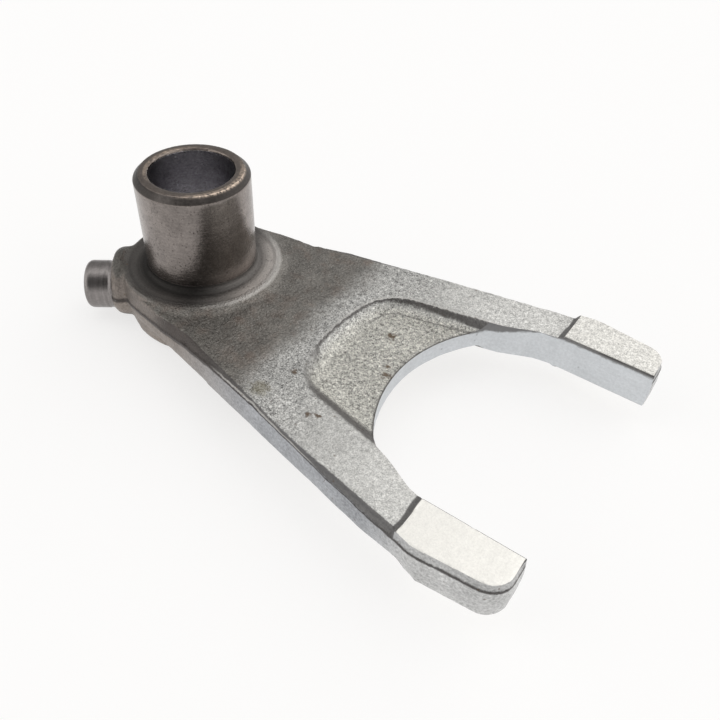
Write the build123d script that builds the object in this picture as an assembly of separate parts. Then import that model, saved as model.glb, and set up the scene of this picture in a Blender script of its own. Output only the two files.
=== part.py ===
# Shift fork for a motorcycle or small-vehicle gearbox, one drop-forged steel piece.
# Millimetres. The shaft bore is the Z axis and z = 0 is the bottom face of the hub.
# +X runs from the bore to the claws, and the guide pin points away from them.
import os
from math import cos, radians, sin, sqrt, tan

from build123d import *

# Shaft boss
bore_diameter = 14.0
boss_diameter = 19.0
boss_height = 28.8
boss_top_chamfer = 1.0
boss_foot_radius = 1.0
bore_chamfer = 0.3

# Hub, the round thick end of the forging, with a turned land round the boss
hub_diameter = 27.9
hub_land_rise = 0.5
hub_top_chamfer = 0.5
hub_bottom_rounding = 2.2
hub_root_radius = 2.6
hub_root_overlap = 0.06

# Arms: their outer edges leave a disc round the hub as tangents and spread evenly
arm_bottom = 4.6
arm_thickness = 5.9
arm_spread_angle = 12.2
arm_edge_distance = 14.35
arm_width = 8.3
arm_edge_rounding = 0.8
forging_draft = 4.0

# Web between the arms, with a pocket on both sides and a round edge to the gap
web_thickness = 3.0
top_pocket_depth = 1.9
pocket_wall_angle = 38.0
pocket_corner_radius = 4.0
pocket_foot_radius = 1.5
pocket_foot_limit = 0.9
pocket_end_reach = 29.1
gap_arc_centre = 66.6
gap_arc_radius = 24.4

# Claws: machined on both faces and on the inside
claw_gap = 41.0
claw_thickness = 6.9
claw_length = 15.5
claw_ramp_length = 0.9
claw_reach = 75.0
claw_stagger = 0.85
claw_shoulder_to_tip = 12.6
claw_tip_half_width = 26.9
claw_tip_radius = 3.5
claw_shoulder_radius = 8.0
claw_edge_rounding = 0.35
claw_inner_chamfer = 0.3

# Guide pin on its lug, turned in one piece with the forging
pin_diameter = 8.6
pin_reach = 21.2
pin_angle = 216.9
pin_height = 5.2
pin_end_rounding = 1.0
lug_diameter = 12.3
lug_height = 6.1
lug_reach = 16.0
lug_end_rounding = 1.6

# Places worked out from the sizes above
hub_radius = hub_diameter / 2
arm_top = arm_bottom + arm_thickness
arm_middle = arm_bottom + arm_thickness / 2
hub_land = arm_top + hub_land_rise
hub_middle = hub_land / 2
claw_top = arm_middle + claw_thickness / 2
claw_bottom = arm_middle - claw_thickness / 2
half_gap = claw_gap / 2
draft_slope = tan(radians(forging_draft))
beyond = claw_reach + hub_diameter


def line_y(distance, x):
    """Height above the X axis of the arm's edge direction, at a distance from the bore axis."""
    spread = radians(arm_spread_angle)
    return distance / cos(spread) + x * tan(spread)


def claw_tip_x(side):
    """Reach of one claw: the two tips are staggered a little."""
    return claw_reach + side * claw_stagger


def arm_outline(side):
    """Solid outline of one arm and claw at the parting plane, from the X axis outwards."""
    spread = radians(arm_spread_angle)
    tangent_x = -arm_edge_distance * sin(spread)
    tip_x = claw_tip_x(side)
    shoulder_x = tip_x - claw_shoulder_to_tip
    corners = [
        (tangent_x, 0),
        (tangent_x, side * arm_edge_distance * cos(spread)),
        (shoulder_x, side * line_y(arm_edge_distance, shoulder_x)),
        (tip_x, side * claw_tip_half_width),
        (tip_x, 0),
    ]
    # Both sides run anticlockwise, so that drafted walls rise from the outline
    outline = make_face(Polyline(*corners[::-side], close=True))
    tip = outline.vertices().sort_by_distance((tip_x, side * claw_tip_half_width))[0]
    outline = fillet(tip, claw_tip_radius)
    shoulder_point = (shoulder_x, side * line_y(arm_edge_distance, shoulder_x))
    shoulder = outline.vertices().sort_by_distance(shoulder_point)[0]
    return fillet(shoulder, claw_shoulder_radius)


def fork_outline():
    """Both arms and claws with the web between them and the disc round the hub, at the parting plane."""
    return arm_outline(1) + arm_outline(-1) + Circle(arm_edge_distance)


def drafted(outline, bottom, top):
    """Forged solid with the outline at the parting plane and drafted walls above and below."""
    upper = extrude(outline, amount=top - arm_middle, taper=forging_draft)
    lower = mirror(extrude(outline, amount=arm_middle - bottom, taper=forging_draft), Plane.XY)
    return Pos(0, 0, arm_middle) * (upper + lower)


def forged_plate():
    """Arms and web as one plate, before the pocket and the gap are cut."""
    plate = drafted(fork_outline(), arm_bottom, arm_top)
    rims = plate.faces().filter_by(Plane.XY).edges()
    return fillet(rims, arm_edge_rounding)


def claw_pads():
    """Thicker ends of the arms, raised above and below the plate by short ramps."""
    pads = drafted(fork_outline(), claw_bottom, claw_top)
    rims = pads.faces().filter_by(Plane.XY).edges()
    pads = fillet(rims, claw_edge_rounding)
    ramp_slope = claw_ramp_length / (claw_top - arm_top)
    half_height = claw_thickness
    keep = Part()
    for side in (1, -1):
        flat_start = claw_tip_x(side) - claw_length
        nose = flat_start - ramp_slope * claw_thickness / 2
        profile = Polyline(
            (nose, arm_middle),
            (nose + ramp_slope * half_height, arm_middle + half_height),
            (beyond, arm_middle + half_height),
            (beyond, arm_middle - half_height),
            (nose + ramp_slope * half_height, arm_middle - half_height),
            close=True,
        )
        # The XZ plane's normal points to -Y, so a positive amount fills the negative side
        keep += extrude(Plane.XZ * make_face(profile), amount=-side * beyond)
    return pads & keep


def gap_cut():
    """Opening between the arms: round edge on the web, spread to the parallel claw faces."""
    inner_edge = arm_edge_distance - arm_width
    spread = radians(arm_spread_angle)
    slope = tan(spread)
    base = inner_edge / cos(spread)
    # Where the arm's inner edge meets the arc: the smaller root of line and circle
    a = 1 + slope**2
    b = slope * base - gap_arc_centre
    c = gap_arc_centre**2 + base**2 - gap_arc_radius**2
    meet_x = (-b - sqrt(b**2 - a * c)) / a
    meet_y = base + slope * meet_x
    web_edge = ThreePointArc(
        (meet_x, -meet_y), (gap_arc_centre - gap_arc_radius, 0), (meet_x, meet_y)
    )
    mouth = Polyline(
        (meet_x, meet_y),
        (claw_tip_x(1) - claw_length, half_gap),
        (beyond, half_gap),
        (beyond, -half_gap),
        (claw_tip_x(-1) - claw_length, -half_gap),
        (meet_x, -meet_y),
    )
    return extrude(make_face(web_edge + mouth), amount=2 * arm_top)


def claw_chamfers():
    """Bars that break the sharp edges along the claws' inner faces."""
    width = claw_inner_chamfer * sqrt(2)
    bar = Box(beyond, width, width)
    cuts = Part()
    for side in (1, -1):
        start = claw_tip_x(side) - claw_length
        for face_z in (claw_bottom, claw_top):
            cuts += Pos(start + beyond / 2, side * half_gap, face_z) * Rot(45, 0, 0) * bar
    return cuts


def pocket_outline():
    """Pocket at the arm's face: both arms' inner edges and an end arc round the gap's centre."""
    inner_edge = arm_edge_distance - arm_width
    end_radius = gap_arc_centre - pocket_end_reach
    wedge = Polyline(
        (0, -line_y(inner_edge, 0)),
        (gap_arc_centre, -line_y(inner_edge, gap_arc_centre)),
        (gap_arc_centre, line_y(inner_edge, gap_arc_centre)),
        (0, line_y(inner_edge, 0)),
        close=True,
    )
    outline = make_face(wedge) & Pos(gap_arc_centre, 0) * Circle(end_radius)
    corners = outline.vertices().group_by(Axis.X)[0]
    return fillet(corners, pocket_corner_radius)


def pocket_tool(depth):
    """Sloped pocket sunk below z = 0, its foot rounded by up to a share of the depth."""
    tool = extrude(pocket_outline(), amount=-depth, taper=pocket_wall_angle)
    foot = tool.faces().sort_by(Axis.Z)[0]
    return fillet(foot.edges(), min(pocket_foot_radius, pocket_foot_limit * depth))


def pocket_cuts():
    """Sunk faces above and below the web, with sloped walls."""
    bottom_pocket_depth = arm_thickness - top_pocket_depth - web_thickness
    top = Pos(0, 0, arm_top) * pocket_tool(top_pocket_depth)
    bottom = Pos(0, 0, arm_bottom) * mirror(pocket_tool(bottom_pocket_depth), Plane.XY)
    return top + bottom


def hub():
    """Thick round end: as wide as the arms' disc above the parting plane, and narrower below."""
    height = hub_land - arm_middle
    chamfer_start = height - hub_top_chamfer
    profile = Polyline(
        (0, 0),
        (arm_edge_distance, 0),
        (arm_edge_distance - draft_slope * chamfer_start, chamfer_start),
        (arm_edge_distance - draft_slope * height - hub_top_chamfer, height),
        (0, height),
        close=True,
    )
    upper = revolve(Plane.XZ * make_face(profile), Axis.Z)
    lower = mirror(extrude(Circle(hub_radius), amount=arm_middle, taper=forging_draft), Plane.XY)
    lower = fillet(lower.faces().sort_by(Axis.Z)[0].edges(), hub_bottom_rounding)
    return Pos(0, 0, arm_middle) * (upper + lower)


def hub_root():
    """Concave root that runs from the hub's wall out under the plate."""
    root = hub_root_radius
    wall = hub_radius - draft_slope * (arm_middle - arm_bottom)
    low_wall = wall - draft_slope * root
    # The root ends a little inside the plate, so that the two faces cross cleanly
    end_z = arm_bottom + hub_root_overlap
    low_z = end_z - root
    buried_z = (arm_bottom + arm_middle) / 2
    buried_radius = low_wall - boss_foot_radius
    arc = RadiusArc((low_wall, low_z), (wall + root, end_z), root)
    rest = Polyline(
        (wall + root, end_z),
        (wall + root, buried_z),
        (buried_radius, buried_z),
        (buried_radius, low_z),
        (low_wall, low_z),
    )
    ring = revolve(Plane.XZ * make_face(arc + rest), Axis.Z)
    under_plate = extrude(offset(fork_outline(), -arm_edge_rounding), amount=arm_middle)
    return ring & under_plate


def boss():
    """Turned boss with a chamfered top edge and a small radius at its foot."""
    radius = boss_diameter / 2
    foot = boss_foot_radius
    profile = Polyline(
        (0, hub_middle),
        (0, boss_height),
        (radius - boss_top_chamfer, boss_height),
        (radius, boss_height - boss_top_chamfer),
        (radius, hub_land + foot),
    )
    fillet_arc = RadiusArc((radius, hub_land + foot), (radius + foot, hub_land), foot)
    close = Polyline((radius + foot, hub_land), (radius + foot, hub_middle), (0, hub_middle))
    return revolve(Plane.XZ * make_face(profile + fillet_arc + close), Axis.Z)


def guide_pin():
    """Round pin on its lug, pointing out level from the bore axis."""
    outward = Rot(0, 90, 0)
    lug = outward * Cylinder(lug_diameter / 2, lug_reach, align=(Align.CENTER, Align.CENTER, Align.MIN))
    lug = fillet(lug.faces().sort_by(Axis.X)[-1].edges(), lug_end_rounding)
    lug = Pos(0, 0, lug_height) * lug
    # The land and the bottom face are turned after forging, and trim the lug with them
    land_radius = arm_edge_distance - hub_top_chamfer
    lug -= Cylinder(land_radius, boss_height, align=(Align.CENTER, Align.CENTER, Align.MIN)).move(
        Location((0, 0, hub_land))
    )
    lug -= Cylinder(beyond, boss_height, align=(Align.CENTER, Align.CENTER, Align.MAX))
    pin = outward * Cylinder(pin_diameter / 2, pin_reach, align=(Align.CENTER, Align.CENTER, Align.MIN))
    pin = fillet(pin.faces().sort_by(Axis.X)[-1].edges(), pin_end_rounding)
    return Rot(0, 0, pin_angle) * (lug + Pos(0, 0, pin_height) * pin)


def bore_cut():
    """Through bore with a small chamfer at each mouth."""
    radius = bore_diameter / 2
    profile = Polyline(
        (0, -bore_chamfer),
        (radius + 2 * bore_chamfer, -bore_chamfer),
        (radius, bore_chamfer),
        (radius, boss_height - bore_chamfer),
        (radius + 2 * bore_chamfer, boss_height + bore_chamfer),
        (0, boss_height + bore_chamfer),
        close=True,
    )
    return revolve(Plane.XZ * make_face(profile), Axis.Z)


def shift_fork():
    """The finished fork: forged shape first, then the machined faces and the bore."""
    blank = forged_plate() + claw_pads() - pocket_cuts()
    blank = blank + hub() + hub_root() + guide_pin() + boss()
    return blank - gap_cut() - claw_chamfers() - bore_cut()


os.makedirs("parts", exist_ok=True)
fork = shift_fork()
fork.label = "shift_fork"
export_step(fork, "parts/shift_fork.step")
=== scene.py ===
import logging
import math
from collections.abc import Callable
from dataclasses import dataclass
from enum import Enum
from functools import cached_property, reduce

import bmesh
import bpy
import numpy as np
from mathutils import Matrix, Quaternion, Vector, noise


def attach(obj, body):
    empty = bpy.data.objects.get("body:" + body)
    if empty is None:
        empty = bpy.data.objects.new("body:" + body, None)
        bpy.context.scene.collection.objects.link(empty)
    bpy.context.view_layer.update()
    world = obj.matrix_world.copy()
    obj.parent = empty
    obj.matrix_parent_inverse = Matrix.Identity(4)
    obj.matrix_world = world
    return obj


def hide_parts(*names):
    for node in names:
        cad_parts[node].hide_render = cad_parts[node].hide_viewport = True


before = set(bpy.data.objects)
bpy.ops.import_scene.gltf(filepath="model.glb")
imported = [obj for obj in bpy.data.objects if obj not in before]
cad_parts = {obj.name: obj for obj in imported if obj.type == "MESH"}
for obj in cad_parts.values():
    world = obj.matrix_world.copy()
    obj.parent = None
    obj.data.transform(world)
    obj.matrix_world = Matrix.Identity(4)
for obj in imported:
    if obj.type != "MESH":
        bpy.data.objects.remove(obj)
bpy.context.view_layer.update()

MM = 0.001
NODE = "shift_fork"
BODY = "root"
FLASH = "above_flash"
CAP = "in_edge_band"
POCKET = "in_pocket"
STEP = "past_claw_start"
FAR_OFF = 20.0
SAME_POINT = 1e-7
NEAR_POINT = 1e-6
SHARP_TURNED = 35.0
ORIGIN = (0.0, 0.0, 0.0)
LEVEL = (1.0, 1.0, 0.0)
RING_LEVELS = (0.3, 0.7)
SCATTERED = (0.9, 0.24, 0.3)
BURR_HEIGHTS = (10.35, 10.5)
NUMBER_SUMS = {"DOT_PRODUCT", "LENGTH", "DISTANCE"}

Colour = tuple[float, float, float]
Place = tuple[float, float, float]
Spots = tuple[tuple[Place, float], ...]
Socket = bpy.types.NodeSocket
Node = bpy.types.Node
NodeTree = bpy.types.NodeTree
Material = bpy.types.Material
Mesh = bpy.types.Mesh
Object = bpy.types.Object
Value = float | Socket
Profile = tuple[tuple[float, float], ...]
Corners = list[tuple[float, float]]

logging.basicConfig(level=logging.INFO, format="%(message)s")
log = logging.getLogger("shift_fork")


class Zone(Enum):
    """Areas of the forging, each with a finish of its own; the value is its material slot."""

    FORGED = 0
    INNER = 1


def eased(value: float, low: float, high: float) -> float:
    """Eases a value from 0 at the low level to 1 at the high one."""
    share = min(max((value - low) / (high - low), 0.0), 1.0)
    return share * share * (3 - 2 * share)


def read(profile: Profile, at: float) -> float:
    """Reads a profile, a list of places and values, at one place."""
    return float(np.interp(at, [p[0] for p in profile], [p[1] for p in profile]))


class Graph:
    """Short calls that add nodes to one node tree and wire them up."""

    def __init__(self, tree: NodeTree) -> None:
        """Keeps the tree that the calls add to."""
        self.tree = tree

    def feed(self, socket: Socket, value: object) -> None:
        """Links a socket into another, or sets its plain value.

        Args:
            socket: The input to fill.
            value: An output socket, a number, a colour or a vector.
        """
        if isinstance(value, Socket):
            self.tree.links.new(value, socket)
        elif socket.type == "RGBA" and len(value) == 3:
            socket.default_value = (*value, 1.0)
        else:
            socket.default_value = value

    def feed_all(self, node: Node, **values: object) -> Node:
        """Fills a node's inputs by name.

        Args:
            node: The node.
            values: What feeds each input, with underscores for spaces in the names.

        Returns:
            The node.
        """
        for name, value in values.items():
            self.feed(node.inputs[name.replace("_", " ")], value)
        return node

    def add(self, kind: str, *inputs: object, **settings: object) -> Node:
        """Adds a node.

        Args:
            kind: Blender's name of the node type.
            inputs: What feeds its first inputs, in order.
            settings: Properties of the node to set.

        Returns:
            The new node.
        """
        node = self.tree.nodes.new(kind)
        for name, value in settings.items():
            setattr(node, name, value)
        for socket, value in zip(node.inputs, inputs):
            self.feed(socket, value)
        return node

    def math(self, operation: str, *values: Value, clamp: bool = False) -> Socket:
        """Adds a Math node that does one sum, such as DIVIDE, on the values."""
        return self.add("ShaderNodeMath", *values, operation=operation, use_clamp=clamp).outputs[0]

    def product(self, *values: Value) -> Socket:
        """Multiplies values."""
        return reduce(lambda a, b: self.math("MULTIPLY", a, b), values)

    def total(self, *values: Value) -> Socket:
        """Adds up values."""
        return reduce(lambda a, b: self.math("ADD", a, b), values)

    def minus(self, a: Value, b: Value) -> Socket:
        """Takes the second value from the first."""
        return self.math("SUBTRACT", a, b)

    def off(self, value: Value, level: Value) -> Socket:
        """Measures how far a value is from a level."""
        return self.math("ABSOLUTE", self.minus(value, level))

    def vector(self, operation: str, *values: object) -> Socket:
        """Adds a Vector Math node that does one sum, such as NORMALIZE, on the vectors."""
        node = self.add("ShaderNodeVectorMath", *values, operation=operation)
        return node.outputs["Value" if operation in NUMBER_SUMS else "Vector"]

    def smooth(
        self, value: Value, low: Value, high: Value, start: float = 0.0, end: float = 1.0
    ) -> Socket:
        """Eases a value from start, at and before the low level, to end, at and after the high."""
        levels = (value, low, high, start, end)
        return self.add("ShaderNodeMapRange", *levels, interpolation_type="SMOOTHSTEP").outputs[0]

    def mix(self, factor: Value, a: object, b: object) -> Socket:
        """Mixes two colours.

        Args:
            factor: 0 gives the first colour and 1 the second.
            a: First colour.
            b: Second colour.

        Returns:
            The mixed colour.
        """
        node = self.add("ShaderNodeMix", factor, data_type="RGBA")
        self.feed(node.inputs[6], a)
        self.feed(node.inputs[7], b)
        return node.outputs[2]

    def paint(self, tone: object, colour: object, *masks: Value) -> Socket:
        """Lays a colour over a tone, as strongly as the product of the masks."""
        return self.mix(self.product(*masks), tone, colour)

    def tint(self, colour: object, *values: Value) -> Socket:
        """Multiplies a colour by one brightness after another.

        Args:
            colour: The colour.
            values: Each brightness.

        Returns:
            The brighter or darker colour.
        """
        for value in values:
            node = self.add("ShaderNodeVectorMath", colour, operation="SCALE")
            colour = self.feed_all(node, Scale=value).outputs["Vector"]
        return colour

    def noise(self, place: Socket, scale: Value, detail: float, roughness: float) -> Socket:
        """Adds a noise texture, about 0 to 1, with a scale in lumps per millimetre."""
        node = self.add("ShaderNodeTexNoise", place)
        return self.feed_all(node, Scale=scale, Detail=detail, Roughness=roughness).outputs["Fac"]

    def ragged(
        self, place: Socket, scale: Value, size: float, detail: float = 4.0, roughness: float = 0.65
    ) -> Socket:
        """Adds noise that swings to both sides of zero, to make an edge uneven."""
        return self.product(self.minus(self.noise(place, scale, detail, roughness), 0.5), size)


class Effect(Graph):
    """A new shader node group with named sockets."""

    def __init__(self, name: str, outputs: tuple[str, ...], **inputs: object) -> None:
        """Makes the group and its sockets.

        Args:
            name: Name of the group.
            outputs: Names of the outputs, all plain values.
            inputs: Default value of each input; a tuple makes a vector input.
        """
        super().__init__(bpy.data.node_groups.new(name, "ShaderNodeTree"))
        for label, value in inputs.items():
            kind = "NodeSocketVector" if isinstance(value, tuple) else "NodeSocketFloat"
            socket = self.tree.interface.new_socket(label, in_out="INPUT", socket_type=kind)
            socket.default_value = value
        for label in outputs:
            self.tree.interface.new_socket(label, in_out="OUTPUT", socket_type="NodeSocketFloat")
        self.given = list(self.add("NodeGroupInput").outputs)[: len(inputs)]

    def ended(self, *results: Socket) -> NodeTree:
        """Feeds the group's outputs in order and gives the group."""
        self.add("NodeGroupOutput", *results)
        return self.tree


class Effects:
    """Node groups that several finishes share, each built once, when it is first asked for."""

    @cached_property
    def grain(self) -> NodeTree:
        """Builds the grain that blasting leaves: fine peaks with softer lumps below.

        Returns:
            The group.
        """
        values = {"Position": ORIGIN, "Fine": 4.0, "Coarse": 0.6, "Contrast": 1.0}
        made = Effect("blast_grain", ("Value", "Height"), **values)
        place, fine, coarse, contrast = made.given
        peaks = made.ragged(place, fine, 1.0, 3.0, 0.62)
        both = made.total(peaks, made.ragged(place, coarse, 0.45, 3.0, 0.5))
        return made.ended(made.total(made.product(both, contrast), 1.0), both)

    @cached_property
    def pits(self) -> NodeTree:
        """Builds small dark pits scattered over a surface.

        Returns:
            The group.
        """
        made = Effect("pits", ("Mask",), Position=ORIGIN, Scale=1.2, Size=0.22, Spread=0.5)
        place, scale, size, spread = made.given
        bend = made.feed_all(made.add("ShaderNodeTexNoise", place), Scale=2.5)
        moved = made.vector("ADD", place, made.tint(bend.outputs["Color"], 0.35))
        cells = made.feed_all(made.add("ShaderNodeTexVoronoi", moved), Scale=scale)
        red, green, _ = made.add("ShaderNodeSeparateColor", cells.outputs["Color"]).outputs
        size = made.product(size, red)
        spot = made.math("GREATER_THAN", green, made.minus(1.0, spread))
        outside = made.smooth(cells.outputs["Distance"], made.product(size, 0.4), size)
        return made.ended(made.product(made.minus(1.0, outside), spot))

    @cached_property
    def turning(self) -> NodeTree:
        """Builds fine rings that a lathe leaves, from a place along the feed.

        Returns:
            The group.
        """
        values = {"Along": 0.0, "Position": ORIGIN, "Lines": 6.0, "Streak": 0.06}
        made = Effect("turning_rings", ("Value",), **values)
        along, place, lines, streak = made.given
        thin = made.add("ShaderNodeCombineXYZ", made.product(along, lines)).outputs[0]
        both = made.vector("ADD", thin, made.tint(place, streak))
        return made.ended(made.noise(both, 1.0, 3.0, 0.6))

    @cached_property
    def stain(self) -> NodeTree:
        """Builds one small irregular stain round a point.

        Returns:
            The group.
        """
        values = {"Position": ORIGIN, "Centre": ORIGIN, "Radius": 1.0, "Breakup": 0.6}
        made = Effect("stain_spot", ("Mask",), **values)
        place, centre, radius, breakup = made.given
        edge = made.product(made.ragged(place, 1.6, 1.0), breakup, 3.0)
        reach = made.product(radius, made.total(edge, 1.0))
        apart = made.vector("DISTANCE", place, centre)
        return made.ended(made.minus(1.0, made.smooth(apart, made.product(reach, 0.25), reach)))


class Surface(Graph):
    """A new metal's material, with the places on its surface that drive it, in millimetres."""

    def __init__(self, name: str, effects: Effects) -> None:
        """Starts the material.

        Args:
            name: Name of the material.
            effects: The shared node groups.
        """
        self.material = bpy.data.materials.new(name)
        self.material.use_nodes = True
        super().__init__(self.material.node_tree)
        self.effects = effects
        self.shader = self.feed_all(self.tree.nodes["Principled BSDF"], Metallic=1.0)
        self.place = self.tint(self.add("ShaderNodeTexCoord").outputs["Object"], 1.0 / MM)
        self.x, self.y, self.z = self.add("ShaderNodeSeparateXYZ", self.place).outputs
        self.level = self.vector("MULTIPLY", self.place, LEVEL)
        self.radius = self.vector("LENGTH", self.level)

    def mark(self, name: str) -> Socket:
        """Reads a measure that the mesh keeps at its points."""
        return self.add("ShaderNodeAttribute", attribute_name=name).outputs["Fac"]

    def facing(self, side: Place) -> Socket:
        """Tells how far the level direction out of the bore's axis agrees with a side."""
        return self.vector("DOT_PRODUCT", self.vector("NORMALIZE", self.level), side)

    def effect(self, tree: NodeTree, **values: object) -> Node:
        """Places one of the shared groups at this surface, with its own values."""
        node = self.add("ShaderNodeGroup", node_tree=tree)
        return self.feed_all(node, Position=self.place, **values)

    def grain(self, fine: float, coarse: float, contrast: Value) -> tuple[Socket, Socket]:
        """Places blasted grain and gives its brightness and its height."""
        node = self.effect(self.effects.grain, Fine=fine, Coarse=coarse, Contrast=contrast)
        return node.outputs["Value"], node.outputs["Height"]

    def rings(self, along: Socket, lines: float, streak: float) -> Socket:
        """Places the lathe's rings along one direction."""
        node = self.effect(self.effects.turning, Along=along, Lines=lines, Streak=streak)
        return node.outputs["Value"]

    def ringed(self, rings: Socket, low: float, high: float) -> Socket:
        """Turns rings into a brightness between two levels."""
        return self.smooth(rings, *RING_LEVELS, low, high)

    def pits(self, scale: float, size: float, spread: float) -> Socket:
        """Places scattered pits and gives their mask."""
        node = self.effect(self.effects.pits, Scale=scale, Size=size, Spread=spread)
        return node.outputs["Mask"]

    def finished(
        self, tone: Socket, roughness: Value, *layers: tuple[Socket, float]
    ) -> Material:
        """Feeds the shader, with bump layers stacked into its normal.

        Args:
            tone: The base colour.
            roughness: The roughness.
            layers: Height of each bump layer and its depth in millimetres.

        Returns:
            The material.
        """
        self.feed_all(self.shader, Base_Color=tone, Roughness=roughness)
        below = {}
        for height, depth in layers:
            node = self.add("ShaderNodeBump")
            self.feed_all(node, Strength=1.0, Distance=depth * MM, Height=height, **below)
            below = {"Normal": node.outputs["Normal"]}
        self.feed_all(self.shader, **below)
        return self.material


@dataclass(frozen=True)
class ForkSizes:
    """Sizes that the pieces share, in millimetres, the same as the solid's."""

    bore_radius: float = 7.0
    boss_radius: float = 9.5
    boss_height: float = 28.8
    boss_chamfer: float = 1.0
    boss_foot: float = 1.0
    mouth_chamfer: float = 0.3
    land_height: float = 11.0
    land_radius: float = 12.5
    arm_bottom: float = 4.6
    arm_top: float = 10.5
    arm_middle: float = 7.55
    arm_spread: float = 12.2
    edge_distance: float = 14.35
    arm_width: float = 8.3
    pocket_depth: float = 1.9
    pocket_corner: float = 4.0
    pocket_radius: float = 37.5
    gap_centre: float = 66.6
    gap_radius: float = 24.4
    half_gap: float = 20.5
    claw_reach: float = 75.0
    claw_stagger: float = 0.85
    claw_length: float = 15.5
    claw_ramp: float = 0.9
    pin_radius: float = 4.3
    pin_height: float = 5.2
    pin_reach: float = 21.2
    pin_angle: float = 216.9
    lug_reach: float = 16.0

    @property
    def pin_direction(self) -> Vector:
        """Direction in which the guide pin points."""
        angle = math.radians(self.pin_angle)
        return Vector((math.cos(angle), math.sin(angle), 0.0))

    def claw_start(self, y: float) -> float:
        """Gives where the claw's flat face starts, on the side that y is on."""
        return self.claw_reach + math.copysign(self.claw_stagger, y) - self.claw_length

    def from_edge(self, point: Vector) -> tuple[float, Vector]:
        """Measures how far a point lies inside the arms' outer edge and the hub's.

        Args:
            point: The point.

        Returns:
            The distance and the level direction outwards.
        """
        spread = math.radians(self.arm_spread)
        if point.x < -self.edge_distance * math.sin(spread):
            level = Vector((point.x, point.y, 0.0))
            return self.edge_distance - level.length, level.normalized()
        out = Vector((-math.sin(spread), math.copysign(math.cos(spread), point.y), 0.0))
        return self.edge_distance - out.dot(point), out

    def in_pocket(self, point: Vector) -> tuple[float, float]:
        """Measures how far a point lies inside the pocket's edge.

        Args:
            point: The point.

        Returns:
            The distance, and how much the pocket's end is the nearer edge, from 0 to 1.
        """
        side = self.from_edge(point)[0] - self.arm_width
        end = self.pocket_radius - math.hypot(point.x - self.gap_centre, point.y)
        share = eased(side - end, -2.5, 2.5)
        corner = self.pocket_corner
        if side < corner and end < corner:
            return corner - math.hypot(corner - side, corner - end), share
        return min(side, end), share


@dataclass(frozen=True)
class LandFinish:
    """Colours of the turned land, which the boss and the forging each show a part of."""

    name: str
    land: Colour = (0.105, 0.098, 0.092)
    # Side on which the land gets painted light and a painted highlight on its ridge.
    lit_side: Place = (0.97, 0.24, 0.0)

    def land_rings(self, face: Surface) -> Socket:
        """Gives the brightness of the land's rings."""
        return face.ringed(face.rings(face.radius, 3.0, 0.05), 0.85, 1.15)

    def land_tone(self, face: Surface) -> Socket:
        """Colours the land, with painted light that makes it much lighter on its lit side."""
        # Painted light: brighter where the land faces the lit side.
        wear_and_light = face.smooth(face.facing(self.lit_side), 0.3, 0.95, 1.05, 4.4)
        return face.tint(self.land, self.land_rings(face), wear_and_light)


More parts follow.
